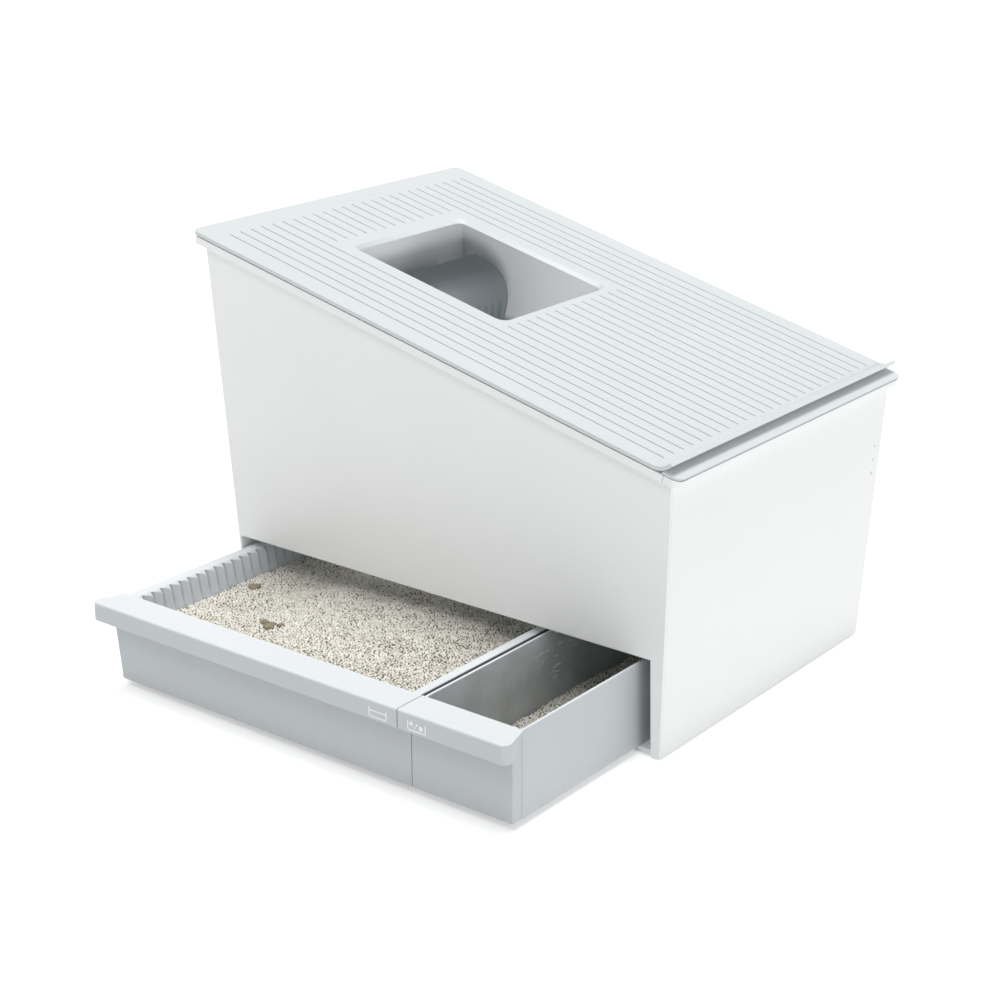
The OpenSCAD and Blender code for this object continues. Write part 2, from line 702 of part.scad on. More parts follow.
// Half of the tray's section outside the trough, from its rim at x = w down to the ground at x = 0
module tray_skirt(w, roll) {
    h = tray_rim_h - tray_z;
    c = [roll, h - roll];
    polygon(concat([[0, 0]], arc(c, roll, 180, 90), [[w, h], [w, h - tray_t]],
                   arc(c, roll - tray_t, 90, 180), [[tray_t, 0]]));
}
module tray_section() {
    intersection() {
        union() {
            polygon(concat(arc(foot_c, foot_r, 180 + tray_lean + flute_turn, 270, 8),
                           [[swing_x, trough_z], [swing_x, tray_z]],
                           arc(foot_c, foot_r + shell_t, 270, 180 + tray_lean + flute_turn, 8)));
            translate([swing_x - 1, tray_z]) square([floor_run + 1, tray_t - 0.9]);
            intersection() {
                difference() {
                    translate([swing_x, swing_z]) circle(r = trough_r + tray_t - 0.4, $fn = 180);
                    translate([swing_x, swing_z]) circle(r = trough_r, $fn = 180);
                }
                translate([swing_x, 0]) square([tray_w, 2 * tray_rim_h]);
            }
        }
        translate([tray_x0, tray_z]) square([tray_w, tray_rim_h - tray_z]);
    }
    translate([tray_x0, tray_z]) tray_skirt(rim_c.x - tray_x0, tray_roll);
    polygon(concat([[rim_c.x, tray_rim_h - tray_t]],
                   arc(rim_c, rim_roll, 90, 90 - (90 - tray_lean) / 4, 2),
                   [rim_c + (rim_roll - shell_t + 0.5) * lean_out]));
    difference() {
        translate([tray_x1, tray_z]) mirror([1, 0]) tray_skirt(tray_edge + 3, 5);
        translate([swing_x, swing_z]) circle(r = trough_r, $fn = 180);
    }
}
// Flat plate across the tray's end, inside the rim's rolls
module tray_end() translate([tray_x0, tray_z]) polygon(concat(
    [[0, 0]], arc([tray_roll, tray_rim_h - tray_z - tray_roll], tray_roll, 180, 90),
    arc([tray_w - 5, tray_rim_h - tray_z - 5], 5, 90, 0), [[tray_w, 0]]));
// Saw-toothed section of the high wall: each flute is deep at its front edge and runs out at its back
module saw_section() polygon(concat(
    [[foot_r, -tray_y0]],
    [for (i = [0:flute_n - 1], h = [0, flute_h]) [foot_r + h, -flute_y - i * flute_pitch]],
    [[foot_r, -flute_y - flute_n * flute_pitch], [foot_r, -tray_y1],
     [foot_r + shell_t, -tray_y1], [foot_r + shell_t, -tray_y0]]));
module at_foot() translate([foot_c.x, 0, foot_c.y])
    rotate([90, 0, 0]) rotate([0, 0, 180 + tray_lean]) children();
// The section turns about the foot's axis, then runs up the wall until the rim's roll cuts it
module fluted_wall() {
    at_foot() rotate_extrude(angle = flute_turn, $fn = 180) saw_section();
    intersection() {
        at_foot() rotate([90, 0, 0]) linear_extrude(wall_h + 6) saw_section();
        along_y(tray_y0 - 1, tray_y1 + 1)
            polygon(concat([[rim_c.x - 5, tray_z], [rim_c.x - 5, tray_rim_h]],
                           arc(rim_c, rim_roll, 90, tray_lean, 8),
                           [wall_top_at + [4, -1], [wall_top_at.x + 4, tray_z]]));
    }
}
module litter_tray() color(drawer_grey) drawn_out() difference() {
    union() {
        along_y(tray_y0, tray_y1) tray_section();
        fluted_wall();
        along_y(tray_y0, tray_y0 + tray_t) tray_end();
        along_y(tray_y1 - tray_t, tray_y1) tray_end();
    }
    translate([tray_x0 - 1, tray_y0 - 1, tray_rim_h - flange_t])
        cube([tray_w + 2, tray_t + 1, flange_t + 1]);
    // notch in the back plate for the guide strip
    translate([tray_x0 + guide_in - 2 * slide_gap, tray_y1 - tray_t - 1, tray_z - 1])
        cube([guide_w + 4 * slide_gap, tray_t + 2, guide_h + 2]);
}

// Extrusion along +X of a profile drawn in y and z, from x0 to x1
module along_x(x0, x1) translate([x0, 0, 0]) rotate([90, 0, 90]) linear_extrude(x1 - x0) children();

// Plan of a drawer's lip between x0 and x1: flared by f0 and f1, its front corners rounded by r0 and r1
module lip_plan(x0, x1, f0, f1, r0, r1, front) {
    back = tray_y0 + tray_t;
    polygon(concat([[x0, back]], arc([x0 - f0 + r0, front + r0], r0, 180, 270),
                   arc([x1 + f1 - r1, front + r1], r1, 270, 360), [[x1, back]]));
}

// Front of a drawer: a hollow lip over a set-back panel whose edge at x0 leans in by lean
web_t = 3;
web_sunk = 0.5;
module drawer_front(x0, x1, f0, f1, lean, web_in) {
    lip_t = 3;
    edge_r = 2.5;
    low = tray_rim_h - front_lip_h;
    seat = tray_rim_h - flange_t;
    back = tray_y0 + tray_t;
    end_r = [f0 > 0 ? 7 : 1, f1 > 0 ? 7 : 1];
    difference() {
        intersection() {
            along_x(x0 - 20, x1 + 20)
                polygon(concat([[back, seat], [back, tray_rim_h]],
                               arc([lip_y + edge_r, tray_rim_h - edge_r], edge_r, 90, 180),
                               [[lip_y, low], [panel_y + panel_t, low], [panel_y + panel_t, seat]]));
            linear_extrude(2 * tray_rim_h) lip_plan(x0, x1, f0, f1, end_r[0], end_r[1], lip_y);
        }
        translate([0, 0, low - 1]) linear_extrude(seat - low + 1) intersection() {
            lip_plan(x0 + lip_t, x1 - lip_t, f0, f1, end_r[0] - 0.5, end_r[1] - 0.5, lip_y + lip_t);
            translate([x0 - 50, lip_y]) square([x1 - x0 + 100, panel_y - lip_y]);
        }
        // stepped in beside the front wall's foot
        if (f0 > 0) translate([x0 - 50, panel_y - 0.5, low - 1]) cube([50, tray_d, front_lip_h + 2]);
    }
    // set-back panel
    along_y(panel_y, panel_y + panel_t) translate([x0, tray_z + 1])
        polygon([[lean + 1.5, 0], [x1 - x0, 0], [x1 - x0, seat - tray_z], [0, seat - tray_z], [lean, 1.5]]);
    // two end webs back to the drawer, the first set in by web_in
    web_z = tray_z + 1;
    for (x = [x0 + web_in, x1 - web_t])
        translate([x, panel_y + panel_t - web_sunk, web_z])
            cube([web_t, tray_y0 - panel_y - panel_t + web_sunk, seat + web_sunk - web_z]);
}
module tray_front() color(drawer_grey)
    drawn_out() drawer_front(tray_x0, tray_x1, lip_flare, 0, 9, 10);
module waste_front() color(drawer_grey)
    drawn_out() drawer_front(bin_x0, bin_x1, 0, lip_flare, 0, bin_in);

// Bed of clumping litter, heaped a little in the middle
litter_gap = 0.3;
crown_h = 12;
crown_span = 150;
crown_r = pow(crown_span, 2) / (2 * crown_h) + crown_h / 2;
module litter_bed() color(litter_col) drawn_out() intersection() {
    along_y(tray_y0 + tray_t + litter_gap, tray_y1 - tray_t - litter_gap)
        intersection() {
            union() {
                polygon(concat([wall_top_at + litter_gap * lean_out],
                               arc(foot_c, foot_r - litter_gap, 180 + tray_lean, 270, 24),
                               [[swing_x, trough_z + litter_gap], [swing_x, tray_rim_h]]));
                intersection() {
                    translate([swing_x, swing_z]) circle(r = trough_r - litter_gap, $fn = 180);
                    translate([swing_x - 0.1, 0]) square([tray_w, 2 * tray_rim_h]);
                }
            }
            translate([tray_x0, tray_z]) square([tray_w, tray_rim_h - tray_z]);
        }
    union() {
        translate([tray_x0, tray_y0, tray_z]) cube([tray_w, tray_d, litter_h - tray_z]);
        translate([swing_x + 0.18 * trough_half, tray_y0 + 0.45 * tray_d, litter_h + crown_h - crown_r])
            sphere(r = crown_r, $fn = 120);
    }
}

// Open box for the waste, with rounded corners, set in from the tray by a dark gap
module waste_bin() color(drawer_grey) drawn_out() difference() {
    lo = [bin_x0 + bin_in, tray_y0];
    hi = [bin_x1, tray_y1];
    t = bin_t * [1, 1];
    translate([0, 0, tray_z]) linear_extrude(tray_rim_h - tray_z) polygon(round_rect(lo, hi, 4));
    translate([0, 0, tray_z + bin_t]) linear_extrude(tray_rim_h)
        polygon(round_rect(lo + t, hi - t, 3));
    translate([bin_x0 - 1, tray_y0 - 1, tray_rim_h - flange_t])
        cube([bin_w + 2, tray_t + 1, flange_t + 1]);
}

// Waste on the bin's floor, banked up towards the back
waste_h = tray_rim_h * [0.055, 0.1, 0.245, 0.355, 0.31];
module waste_litter() color(litter_col) drawn_out() intersection() {
    in = bin_t + litter_gap;
    step = (tray_d - 2 * in) / (len(waste_h) - 1);
    along_x(bin_x0 + bin_in + in, bin_x1 - in) translate([tray_y0 + in, tray_z + bin_t])
        polygon(concat([[0, 0]], [for (i = [0:len(waste_h) - 1]) [i * step, waste_h[i]]],
                       [[tray_d - 2 * in, 0]]));
    linear_extrude(tray_rim_h)
        polygon(round_rect([bin_x0 + bin_in, tray_y0] + in * [1, 1], [bin_x1, tray_y1] - in * [1, 1], 3));
}

base_plate();
front_wall();
back_wall();
high_end_wall();
low_end_wall();
top_rim();
low_end_rim();
rest_ledge();
rubber_feet();
drawer_guides();
floor_screws();
hinge_lugs();
hinge_pins();
bearing_plates();
stub_axles();
motor_posts();
motor_plate();
gearbox();
motor_can();
drive_cover();
power_inlet();
control_board();
indicator_lenses();
interlock_switch();
lid();
lid_bumpers();
front_arm();
back_arm();
swing_gear();
scoop_shell();
scoop_end_caps();
arm_screws();
drive_pinion();
litter_tray();
tray_front();
litter_bed();
waste_bin();
waste_front();
waste_litter();
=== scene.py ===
# Self-cleaning litter box: a white box under a sloping grooved lid, with a litter tray and a waste
# drawer pulled out at its front. Metres, +Z up, the drawers towards -Y, the low end towards +X.
import math

import bpy
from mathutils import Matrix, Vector


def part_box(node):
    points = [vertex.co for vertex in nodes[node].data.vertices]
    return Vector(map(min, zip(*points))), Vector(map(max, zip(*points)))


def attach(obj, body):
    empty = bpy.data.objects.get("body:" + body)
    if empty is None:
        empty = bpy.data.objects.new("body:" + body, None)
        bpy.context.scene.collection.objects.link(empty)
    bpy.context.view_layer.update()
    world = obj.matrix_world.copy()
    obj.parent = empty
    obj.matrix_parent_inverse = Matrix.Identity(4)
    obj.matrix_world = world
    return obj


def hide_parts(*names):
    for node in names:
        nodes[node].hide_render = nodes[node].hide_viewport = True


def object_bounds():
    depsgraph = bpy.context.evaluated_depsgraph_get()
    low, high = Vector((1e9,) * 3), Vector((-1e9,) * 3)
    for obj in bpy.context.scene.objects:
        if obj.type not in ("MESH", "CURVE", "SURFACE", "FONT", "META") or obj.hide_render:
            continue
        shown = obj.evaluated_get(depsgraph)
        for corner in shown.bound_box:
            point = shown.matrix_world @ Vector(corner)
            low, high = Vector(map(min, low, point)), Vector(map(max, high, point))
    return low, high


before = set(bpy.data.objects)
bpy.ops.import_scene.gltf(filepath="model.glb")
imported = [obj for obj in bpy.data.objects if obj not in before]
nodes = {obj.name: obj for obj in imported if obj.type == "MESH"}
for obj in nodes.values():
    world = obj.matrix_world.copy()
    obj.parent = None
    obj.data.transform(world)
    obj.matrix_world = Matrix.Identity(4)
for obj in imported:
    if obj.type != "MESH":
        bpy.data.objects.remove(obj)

cad_box = [list(corner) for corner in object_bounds()]

# White housing
# Four leaning wall panels, the rims round their tops, the floor plate, the hinge lugs, the bearing discs
# and the motor's cover. They are injection-moulded in white ABS and snapped or screwed together.
MM = 0.001
TOUCHING = 0.01 * MM

# a Mix node's settings for colours, its sockets in that use, and its output
RGBA = {"data_type": "RGBA"}
SHARE, FIRST, SECOND = 0, 6, 7
MIXED = 2


def linear(code):
    """An sRGB hex colour as linear RGBA."""
    part = [int(code[i:i + 2], 16) / 255 for i in (1, 3, 5)]
    return [c / 12.92 if c <= 0.04045 else ((c + 0.055) / 1.055) ** 2.4 for c in part] + [1.0]


def put(tree, kind, settings={}, sockets={}):
    """Adds a node to a tree, with its settings, and its sockets given a value or a link."""
    node = tree.nodes.new(kind)
    for name, value in settings.items():
        setattr(node, name, value)
    for name, value in sockets.items():
        if isinstance(value, bpy.types.NodeSocket):
            tree.links.new(value, node.inputs[name])
        else:
            node.inputs[name].default_value = value
    return node


def new_finish(name):
    """An empty material, its node tree and the coordinates that its patterns lie in."""
    mat = bpy.data.materials.new(name)
    mat.use_nodes = True
    mat.node_tree.nodes.clear()
    return mat, mat.node_tree, put(mat.node_tree, "ShaderNodeTexCoord").outputs["Object"]


def moulded(tree, place, light, dark, cloud_mm, grain_mm, depth_mm, rough):
    """Colour, roughness and normal of a moulded plastic: slow drifts of tone over a fine mould texture."""
    cloud = put(tree, "ShaderNodeTexNoise", {},
                {"Vector": place, "Scale": 1 / (cloud_mm * MM), "Detail": 3.0})
    tone = put(tree, "ShaderNodeMix", RGBA,
               {SHARE: cloud.outputs[0], FIRST: linear(light), SECOND: linear(dark)})
    grain = put(tree, "ShaderNodeTexNoise", {},
                {"Vector": place, "Scale": 1 / (grain_mm * MM), "Detail": 2.0})
    gloss = put(tree, "ShaderNodeMapRange", {},
                {"Value": grain.outputs[0], "From Min": 0.3, "From Max": 0.7,
                 "To Min": rough[0], "To Max": rough[1]})
    bump = put(tree, "ShaderNodeBump", {},
               {"Height": grain.outputs[0], "Strength": 1.0, "Distance": depth_mm * MM})
    return tone.outputs[MIXED], gloss.outputs[0], bump.outputs[0]


def cover(tree, colour, rough, normal, more={}):
    """The shader and the output that a material ends in."""
    shader = put(tree, "ShaderNodeBsdfPrincipled", {},
                 {"Base Color": colour, "Roughness": rough, "Normal": normal, **more})
    put(tree, "ShaderNodeOutputMaterial", {}, {"Surface": shader.outputs[0]})


def dress(finish, *names):
    """Gives a finish to frame nodes."""
    for name in names:
        nodes[name].data.materials.clear()
        nodes[name].data.materials.append(finish)


def soften(width_mm, *names):
    """Rounds the sharp edges that a frame node shows, as a mould does."""
    for name in names:
        weld = nodes[name].modifiers.new("welded", "WELD")
        weld.merge_threshold = TOUCHING
        edge = nodes[name].modifiers.new("soft_edge", "BEVEL")
        edge.width = width_mm * MM
        edge.segments = 2
        edge.limit_method = "ANGLE"
        edge.angle_limit = math.radians(40)
        edge.harden_normals = True


# moulded ABS is an even, bright white with a soft sheen; its spark-eroded grain of about 0.1 mm is drawn
# at 1 mm, because it is too fine to show
white_abs, tree, place = new_finish("white_ABS_moulded")
cover(tree, *moulded(tree, place, "#F6F8F8", "#F2F4F4", cloud_mm=90, grain_mm=1.0, depth_mm=0.006,
                     rough=(0.36, 0.46)), {"IOR": 1.53})
dress(white_abs, "base_plate", "front_wall", "back_wall", "high_end_wall", "low_end_wall", "top_rim",
      "low_end_rim", "hinge_lugs", "bearing_plates", "drive_cover")
soften(0.8, "front_wall", "high_end_wall")
soften(0.6, "top_rim", "low_end_rim")

# Feet and bumpers
# Discs of black rubber, pressed into pockets of the floor plate and stuck under the lid.

# pressed rubber is dull and nearly black; its fine grain is drawn at 0.8 mm, so that it shows
rubber, tree, place = new_finish("black_rubber_pressed")
cover(tree, *moulded(tree, place, "#232425", "#191A1B", cloud_mm=12, grain_mm=0.8, depth_mm=0.02,
                     rough=(0.72, 0.88)), {"IOR": 1.52})
dress(rubber, "rubber_feet", "lid_bumpers")

# Lid and ledge
# One grooved plate with a collared entry and a turned-up lip, hinged at the high end, and the ledge under
# its lip. Both are moulded in pale cool-grey ABS with a matt top.
LID_CORNER = (cad_box[0][0], 0.0, 0.416)
LID_SLOPE = math.radians(13.6)
LID_UP = (math.sin(LID_SLOPE), 0.0, math.cos(LID_SLOPE))
NEARLY_UP = 0.9
GROOVE_PITCH = 14.9 * MM
GROOVE_HALF = 0.72 * MM
SHADE_STARTS, SHADE_IS_FULL, SHADE_ENDS = -0.1 * MM, -0.6 * MM, -1.2 * MM


def grey_abs(name):
    """A finish of matt pale-grey ABS: the material, its tree and coordinates, colour, roughness, normal."""
    finish, tree, place = new_finish(name)
    return finish, tree, place, *moulded(tree, place, "#D5DADB", "#D1D6D7", cloud_mm=70, grain_mm=1.1,
                                         depth_mm=0.01, rough=(0.46, 0.56))


# matt ABS scatters the light evenly; the grooves' beds, which look up as the lid does, are painted dark as
# the shade in the grooves, which draws them as fine dark lines
lid_abs, tree, place, colour, rough, normal = grey_abs("grey_ABS_matt")
on_lid = put(tree, "ShaderNodeMapping", {"vector_type": "TEXTURE"},
             {"Vector": place, "Location": LID_CORNER, "Rotation": (0.0, LID_SLOPE, 0.0)})
split = put(tree, "ShaderNodeSeparateXYZ", {}, {"Vector": on_lid.outputs[0]})
across = put(tree, "ShaderNodeMath", {"operation": "WRAP"},
             {0: split.outputs["Y"], 1: GROOVE_PITCH / 2, 2: -GROOVE_PITCH / 2})
beside = put(tree, "ShaderNodeMath", {"operation": "ABSOLUTE"}, {0: across.outputs[0]})
in_line = put(tree, "ShaderNodeMath", {"operation": "LESS_THAN"}, {0: beside.outputs[0], 1: GROOVE_HALF})
below = put(tree, "ShaderNodeMapRange", {},
            {"Value": split.outputs["Z"], "From Min": SHADE_STARTS, "From Max": SHADE_IS_FULL})
above = put(tree, "ShaderNodeMath", {"operation": "GREATER_THAN"}, {0: split.outputs["Z"], 1: SHADE_ENDS})
upward = put(tree, "ShaderNodeVectorMath", {"operation": "DOT_PRODUCT"},
             {0: put(tree, "ShaderNodeTexCoord").outputs["Normal"], 1: LID_UP})
flat = put(tree, "ShaderNodeMath", {"operation": "GREATER_THAN"}, {0: upward.outputs["Value"], 1: NEARLY_UP})
# painted shade: dark only on the grooves' beds
groove_shade = in_line
for limit in (below, flat, above):
    groove_shade = put(tree, "ShaderNodeMath", {"operation": "MULTIPLY"}, {0: groove_shade.outputs[0], 1: limit.outputs[0]})
grooved = put(tree, "ShaderNodeMix", RGBA,
              {SHARE: groove_shade.outputs[0], FIRST: colour, SECOND: linear("#545B5F")})
cover(tree, grooved.outputs[MIXED], rough, normal, {"IOR": 1.53})
dress(lid_abs, "lid")
soften(0.35, "lid")

# the ledge is the same moulding, with a line of painted shade where its foot meets the white rim
LEDGE_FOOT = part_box("rest_ledge")[0].z
ledge_abs, tree, place, colour, rough, normal = grey_abs("grey_ABS_ledge")
height = put(tree, "ShaderNodeSeparateXYZ", {}, {"Vector": place})
foot_shade = put(tree, "ShaderNodeMapRange", {},
              {"Value": height.outputs["Z"], "From Min": LEDGE_FOOT + 1.5 * MM,
               "From Max": LEDGE_FOOT + 0.9 * MM})
# painted shade along the ledge's foot
lined = put(tree, "ShaderNodeMix", RGBA,
            {SHARE: foot_shade.outputs[0], FIRST: colour, SECOND: linear("#6C7377")})
cover(tree, lined.outputs[MIXED], rough, normal, {"IOR": 1.53})
dress(ledge_abs, "rest_ledge")
soften(0.6, "rest_ledge")

# Swing scoop
# A ribbed bowl between two arms on stub axles, with the big gear beside the back arm, moulded in mid-grey
# glass-filled nylon that wears a little shiny on the ribs.

# the glass gives the nylon a faint mottle and a half-dull skin; its grain is drawn at 1.2 mm, so that it
# shows
nylon, tree, place = new_finish("grey_nylon_moulded")
cover(tree, *moulded(tree, place, "#858D91", "#7C8488", cloud_mm=40, grain_mm=1.2, depth_mm=0.015,
                     rough=(0.40, 0.55)), {"IOR": 1.53})
dress(nylon, "front_arm", "back_arm", "swing_gear", "scoop_shell", "scoop_end_caps")

# Steel parts
# Screws, hinge pins, axles, pinion, motor plate, gearbox and motor can, turned or pressed from steel and
# zinc-plated, with the fine rings and lines of the tool.
TOOL_LINE = 3 * MM
LINES_CLOSER = (1.0, 14.0, 1.0)

# zinc plating is a cool, half-bright metal, streaked by the tool's lines, which lie about 0.2 mm apart
steel, tree, place = new_finish("zinc_plated_steel_turned")
stretch = put(tree, "ShaderNodeMapping", {}, {"Vector": place, "Scale": LINES_CLOSER})
lines = put(tree, "ShaderNodeTexNoise", {},
            {"Vector": stretch.outputs[0], "Scale": 1 / TOOL_LINE, "Detail": 3.0})
tone = put(tree, "ShaderNodeMix", RGBA,
           {SHARE: lines.outputs[0], FIRST: linear("#B9BCBE"), SECOND: linear("#A2A6A9")})
gloss = put(tree, "ShaderNodeMapRange", {}, {"Value": lines.outputs[0], "To Min": 0.22, "To Max": 0.42})
bump = put(tree, "ShaderNodeBump", {}, {"Height": lines.outputs[0], "Distance": 0.01 * MM})
cover(tree, tone.outputs[MIXED], gloss.outputs[0], bump.outputs[0], {"Metallic": 1.0})
dress(steel, "floor_screws", "hinge_pins", "stub_axles", "motor_plate", "gearbox", "motor_can", "arm_screws",
      "drive_pinion")

# Motor posts
# Three turned aluminium spacers that hold the motor plate off the back wall.
RING = 0.8 * MM
WAVE_FACTOR = 20

# bare aluminium is a pale, bright metal; the turning rings are drawn coarser than they are, so that they
# show, and the Wave node's own factor is taken out of their scale
alu, tree, place = new_finish("aluminium_turned")
rings = put(tree, "ShaderNodeTexWave", {"bands_direction": "Y"},
            {"Vector": place, "Scale": 1 / (WAVE_FACTOR * RING), "Distortion": 1.0})
tone = put(tree, "ShaderNodeMix", RGBA,
           {SHARE: rings.outputs[1], FIRST: linear("#D2D3D4"), SECOND: linear("#C3C5C7")})
gloss = put(tree, "ShaderNodeMapRange", {}, {"Value": rings.outputs[1], "To Min": 0.25, "To Max": 0.4})
bump = put(tree, "ShaderNodeBump", {}, {"Height": rings.outputs[1], "Distance": 0.01 * MM})
cover(tree, tone.outputs[MIXED], gloss.outputs[0], bump.outputs[0], {"Metallic": 1.0})
dress(alu, "motor_posts")

# Electrics
# The power inlet and the drawer switch are black nylon mouldings, the board is green glass-fibre laminate
# with solder mask, and the three lenses are clear polycarbonate pressed into the end wall.

# black nylon is a deep, half-dull black; its grain is drawn at 0.8 mm, so that it shows
black_nylon, tree, place = new_finish("black_nylon_moulded")
cover(tree, *moulded(tree, place, "#1E1F20", "#161718", cloud_mm=10, grain_mm=0.8, depth_mm=0.015,
                     rough=(0.45, 0.6)), {"IOR": 1.53})
dress(black_nylon, "power_inlet", "interlock_switch")

# solder mask is a glossy deep green over the glass weave, dotted with pale tinned pads
PAD_PITCH = 5 * MM
PAD_RADIUS = 0.16
WEAVE = 2 * MM
laminate, tree, place = new_finish("green_laminate_masked")
cells = put(tree, "ShaderNodeTexVoronoi", {}, {"Vector": place, "Scale": 1 / PAD_PITCH})
pad = put(tree, "ShaderNodeMath", {"operation": "LESS_THAN"}, {0: cells.outputs["Distance"], 1: PAD_RADIUS})
weave = put(tree, "ShaderNodeTexNoise", {}, {"Vector": place, "Scale": 1 / WEAVE})
mask = put(tree, "ShaderNodeMix", RGBA,
           {SHARE: weave.outputs[0], FIRST: linear("#1F6A3F"), SECOND: linear("#185634")})
tone = put(tree, "ShaderNodeMix", RGBA,
           {SHARE: pad.outputs[0], FIRST: mask.outputs[MIXED], SECOND: linear("#C9B27A")})
gloss = put(tree, "ShaderNodeMapRange", {}, {"Value": weave.outputs[0], "To Min": 0.25, "To Max": 0.4})
bump = put(tree, "ShaderNodeBump", {}, {"Height": pad.outputs[0], "Distance": 0.05 * MM})
cover(tree, tone.outputs[MIXED], gloss.outputs[0], bump.outputs[0], {"IOR": 1.5})
dress(laminate, "control_board")

# polycarbonate is glossy, and takes the pale tone of the wall round it
clear, tree, place = new_finish("clear_polycarbonate")
cover(tree, *moulded(tree, place, "#D8DCDE", "#CDD2D5", cloud_mm=3, grain_mm=0.6, depth_mm=0.004,
                     rough=(0.08, 0.16)), {"IOR": 1.585})
dress(clear, "indicator_lenses")

# Drawers
# The two fronts with a folded-over lip, snapped to the tray and the bin, and the guides that these slide on.
# All are moulded in light-grey polypropylene, which is waxy and soon shows fine scratches.


def grey_pp(name):
    """A finish of light-grey polypropylene, given in the same way as the grey ABS."""
    finish, tree, place = new_finish(name)
    return finish, tree, place, *moulded(tree, place, "#C5CACD", "#C0C5C8", cloud_mm=60, grain_mm=1.0,
                                         depth_mm=0.008, rough=(0.36, 0.48))


def painted_top_light(tree, colour):
    """Paints a colour paler on the faces that look up: painted light from overhead."""
    up = put(tree, "ShaderNodeSeparateXYZ", {}, {"Vector": put(tree, "ShaderNodeTexCoord").outputs["Normal"]})
    share = put(tree, "ShaderNodeMapRange", {},
                {"Value": up.outputs["Z"], "From Min": 0.35, "From Max": 0.95})
    return put(tree, "ShaderNodeMix", RGBA,
               {SHARE: share.outputs[0], FIRST: colour, SECOND: linear("#DDE1E4")}).outputs[MIXED]


# polypropylene has a soft, waxy sheen, and its upward faces are painted paler, as painted light from
# overhead; its grain is drawn at 1 mm, so that it shows
pp, tree, place, colour, rough, normal = grey_pp("grey_polypropylene_moulded")
cover(tree, painted_top_light(tree, colour), rough, normal, {"IOR": 1.49})
dress(pp, "drawer_guides", "tray_front", "waste_front")
soften(0.6, "tray_front", "waste_front")

# Litter tray
# The trough that holds the litter, moulded in one piece of the same polypropylene. Its high wall is fluted,
# and the deep edge of every flute is painted dark as the shade that falls in it.
tray_low, tray_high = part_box("litter_tray")
RIM_MID = tray_low + Vector((12 * MM, 0.0, 73.9 * MM))
RIM_ROLL = 9 * MM
WALL_LEAN = math.radians(10)
WALL_OUT = (math.cos(WALL_LEAN), 0.0, math.sin(WALL_LEAN))
NEARLY_OUT = 0.88
tray_pp, tree, place, colour, rough, normal = grey_pp("grey_polypropylene_fluted")
# painted shade in the deep edge of each flute, on the fluted wall's upright faces
from_rim = put(tree, "ShaderNodeVectorMath", {"operation": "SUBTRACT"}, {0: place, 1: RIM_MID})
reach = put(tree, "ShaderNodeVectorMath", {"operation": "DOT_PRODUCT"},
            {0: from_rim.outputs[0], 1: WALL_OUT})
deep = put(tree, "ShaderNodeMapRange", {},
           {"Value": reach.outputs["Value"], "From Min": RIM_ROLL - 1.9 * MM,
            "From Max": RIM_ROLL - 2.8 * MM})
level = put(tree, "ShaderNodeVectorMath", {"operation": "DOT_PRODUCT"},
            {0: put(tree, "ShaderNodeTexCoord").outputs["Normal"], 1: WALL_OUT})
upright = put(tree, "ShaderNodeMath", {"operation": "GREATER_THAN"},
              {0: level.outputs["Value"], 1: NEARLY_OUT})
flute_shade = put(tree, "ShaderNodeMath", {"operation": "MULTIPLY"}, {0: deep.outputs[0], 1: upright.outputs[0]})
# the upward faces are painted paler: painted light from overhead
fluted = put(tree, "ShaderNodeMix", RGBA,
             {SHARE: flute_shade.outputs[0], FIRST: painted_top_light(tree, colour), SECOND: linear("#7D858A")})

# the seam between the tray's rim and the bin's is painted dark, as the shade in the gap
SEAM, RIM_TOP = tray_high.x, tray_high.z
where = put(tree, "ShaderNodeSeparateXYZ", {}, {"Vector": place})
beside = put(tree, "ShaderNodeMapRange", {},
             {"Value": where.outputs["X"], "From Min": SEAM - 2.6 * MM, "From Max": SEAM - 1.6 * MM})
high = put(tree, "ShaderNodeMath", {"operation": "GREATER_THAN"},
           {0: where.outputs["Z"], 1: RIM_TOP - 6.5 * MM})
seam_shade = put(tree, "ShaderNodeMath", {"operation": "MULTIPLY"}, {0: beside.outputs[0], 1: high.outputs[0]})
# painted shade along the seam
seamed = put(tree, "ShaderNodeMix", RGBA,
             {SHARE: seam_shade.outputs[0], FIRST: fluted.outputs[MIXED], SECOND: linear("#3C4144")})
cover(tree, seamed.outputs[MIXED], rough, normal, {"IOR": 1.49})
dress(tray_pp, "litter_tray")
soften(0.35, "litter_tray")

# Signs on the drawers
# Line pictograms pad-printed in white ink on the lips: a full tray, and a tray with lumps in it.
LIP_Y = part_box("tray_front")[0].y - 0.02 * MM
SIGN_Z = 81 * MM
SIGN_SIZE_MM = (20.5, 13)
SIGN_CORNER = 1.9 * MM
SIGN_TOP = 2.6 * MM
LINE_MM = 1.2
FILM = 0.12 * MM

# printed ink is an even, dull white
ink, tree, place = new_finish("white_ink_printed")
cover(tree, *moulded(tree, place, "#F4F5F5", "#EBEDED", cloud_mm=4, grain_mm=0.5, depth_mm=0.003,
                     rough=(0.5, 0.65)), {"IOR": 1.5})


def move_new(size, x, z):
    """Sizes the face that was just drawn in the lip's plane and puts it beside the sign's middle."""
    bpy.ops.transform.resize(value=(size[0] * MM, 1.0, size[1] * MM), center_override=(0.0, 0.0, 0.0))
    bpy.ops.transform.translate(value=(x, LIP_Y, SIGN_Z + z * MM))


